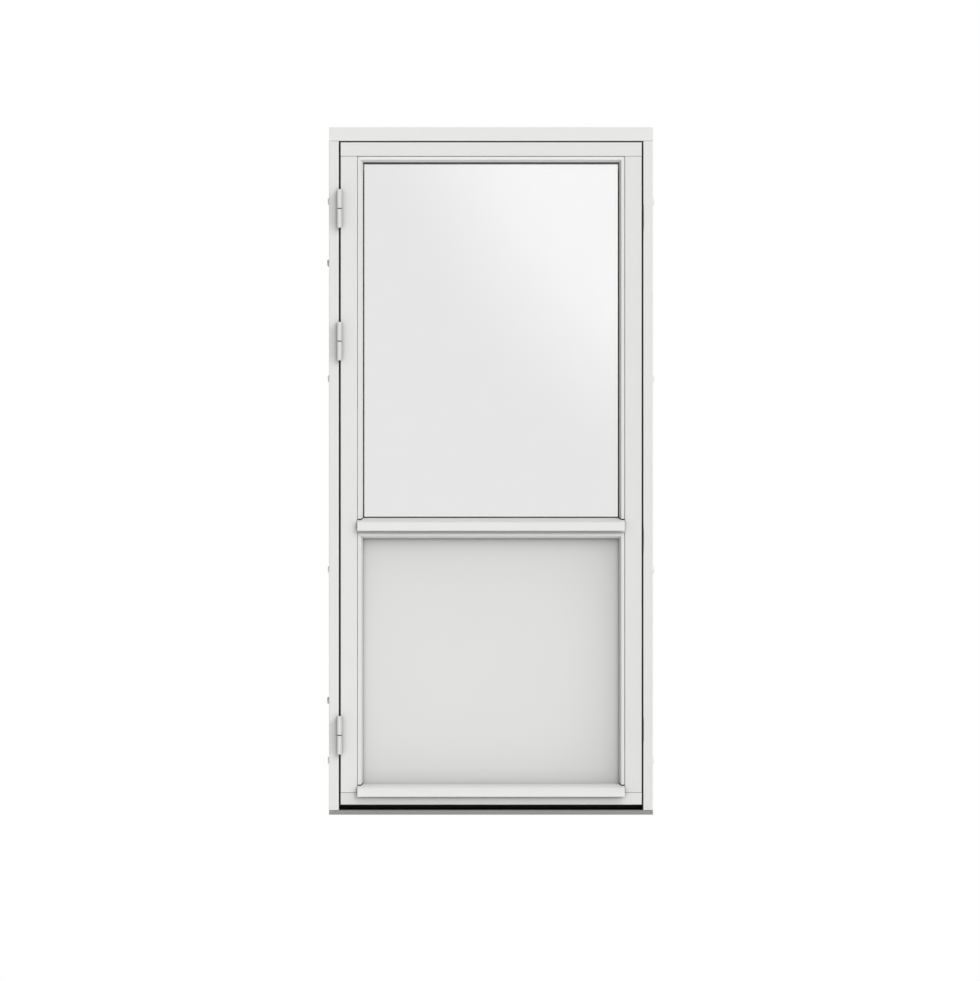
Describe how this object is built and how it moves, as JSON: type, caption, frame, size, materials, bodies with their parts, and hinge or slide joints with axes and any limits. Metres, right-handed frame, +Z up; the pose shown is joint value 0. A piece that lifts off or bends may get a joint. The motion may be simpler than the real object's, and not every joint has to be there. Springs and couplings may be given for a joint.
{
  "type": "glazed patio door",
  "caption": "Outward opening white patio door in its frame, with a tall glazed field over a flat panel, drip beads, side hinges, a multi-point bolt lock and a lever inside.",
  "frame": {"origin": "middle of the sill's underside, at half the frame's depth", "axes": "+X to the right seen from outside, +Y into the room, +Z up"},
  "size_m": [0.994, 0.1305, 2.08],
  "materials": {
    "painted_timber": "white satin paint on pine",
    "painted_panel": "white satin paint on a smooth board",
    "black_composite": "matt black",
    "grey_aluminium": "plain anodised",
    "white_aluminium": "white powder coat",
    "oiled_oak": "oiled",
    "black_rubber": "matt",
    "white_plastic": "plain",
    "grey_plastic": "plain",
    "white_metal": "white enamel",
    "zinc_steel": "bright zinc plate",
    "satin_handle": "satin anodised",
    "clear_glass": "clear float glass",
    "spacer_bar": "dull"
  },
  "bodies": {
    "frame": {"frame_head": "painted_timber", "hinge_jamb": "painted_timber", "lock_jamb": "painted_timber", "sill_base": "black_composite", "sill_nosing": "grey_aluminium", "sill_board": "oiled_oak", "frame_seal": "black_rubber", "fixing_sleeves": "white_plastic", "load_sleeves": "zinc_steel", "strike_plates": "zinc_steel", "strike_screws": "zinc_steel", "frame_hinge_top": "white_metal", "frame_hinge_middle": "white_metal", "frame_hinge_bottom": "white_metal", "hinge_pins": "zinc_steel", "hinge_washers": "black_rubber", "frame_hinge_screws": "zinc_steel"},
    "leaf": {"hinge_stile": "painted_timber", "lock_stile": "painted_timber", "top_rail": "painted_timber", "mid_rail": "painted_timber", "bottom_rail": "painted_timber", "leaf_weather_seal": "black_rubber", "outer_pane": "clear_glass", "middle_pane": "clear_glass", "inner_pane": "clear_glass", "outer_spacer": "spacer_bar", "inner_spacer": "spacer_bar", "glass_gasket": "black_rubber", "glass_tape": "black_rubber", "setting_blocks": "grey_plastic", "glass_bead_top": "painted_timber", "glass_bead_left": "painted_timber", "glass_bead_right": "painted_timber", "glass_drip": "white_aluminium", "panel": "painted_panel", "panel_bead_top": "painted_timber", "panel_bead_left": "painted_timber", "panel_bead_right": "painted_timber", "panel_drip": "white_aluminium", "bead_pads": "black_rubber", "leaf_hinge_top": "white_metal", "leaf_hinge_middle": "white_metal", "leaf_hinge_bottom": "white_metal", "leaf_hinge_screws": "zinc_steel", "lock_face_plate": "zinc_steel", "face_plate_screws": "zinc_steel", "lock_case": "zinc_steel", "handle_rose": "satin_handle", "rose_screws": "zinc_steel"},
    "handle": {"lever_handle": "satin_handle", "handle_spindle": "zinc_steel", "lock_follower": "zinc_steel"},
    "lock_rail": {"lock_rail": "zinc_steel"},
    "top_bolt": {"top_bolt": "zinc_steel"},
    "middle_bolt": {"middle_bolt": "zinc_steel"},
    "bottom_bolt": {"bottom_bolt": "zinc_steel"}
  },
  "joints": [
    {"name": "leaf_swing", "type": "hinge", "parent": "frame", "child": "leaf", "pos_m": [-0.45775, -0.0655, 1], "axis": [0, 0, -1], "range_deg": [0, 170]},
    {"name": "handle_turn", "type": "hinge", "parent": "leaf", "child": "handle", "pos_m": [0.428, 0, 1], "axis": [0, -1, 0], "range_deg": [0, 180]},
    {"name": "lock_rail_slide", "type": "slide", "parent": "leaf", "child": "lock_rail", "axis": [0, 0, 1], "range_m": [0, 0.02001]},
    {"name": "top_bolt_slide", "type": "slide", "parent": "leaf", "child": "top_bolt", "axis": [1, 0, 0], "range_m": [0, 0.01201]},
    {"name": "middle_bolt_slide", "type": "slide", "parent": "leaf", "child": "middle_bolt", "axis": [1, 0, 0], "range_m": [0, 0.01201]},
    {"name": "bottom_bolt_slide", "type": "slide", "parent": "leaf", "child": "bottom_bolt", "axis": [1, 0, 0], "range_m": [0, 0.01201]}
  ],
  "couplings": [
    {"joint": "lock_rail_slide", "follows": "handle_turn", "m_per_rad": 0.0063662},
    {"joint": "top_bolt_slide", "follows": "handle_turn", "m_per_rad": 0.0038197},
    {"joint": "middle_bolt_slide", "follows": "handle_turn", "m_per_rad": 0.0038197},
    {"joint": "bottom_bolt_slide", "follows": "handle_turn", "m_per_rad": 0.0038197}
  ]
}
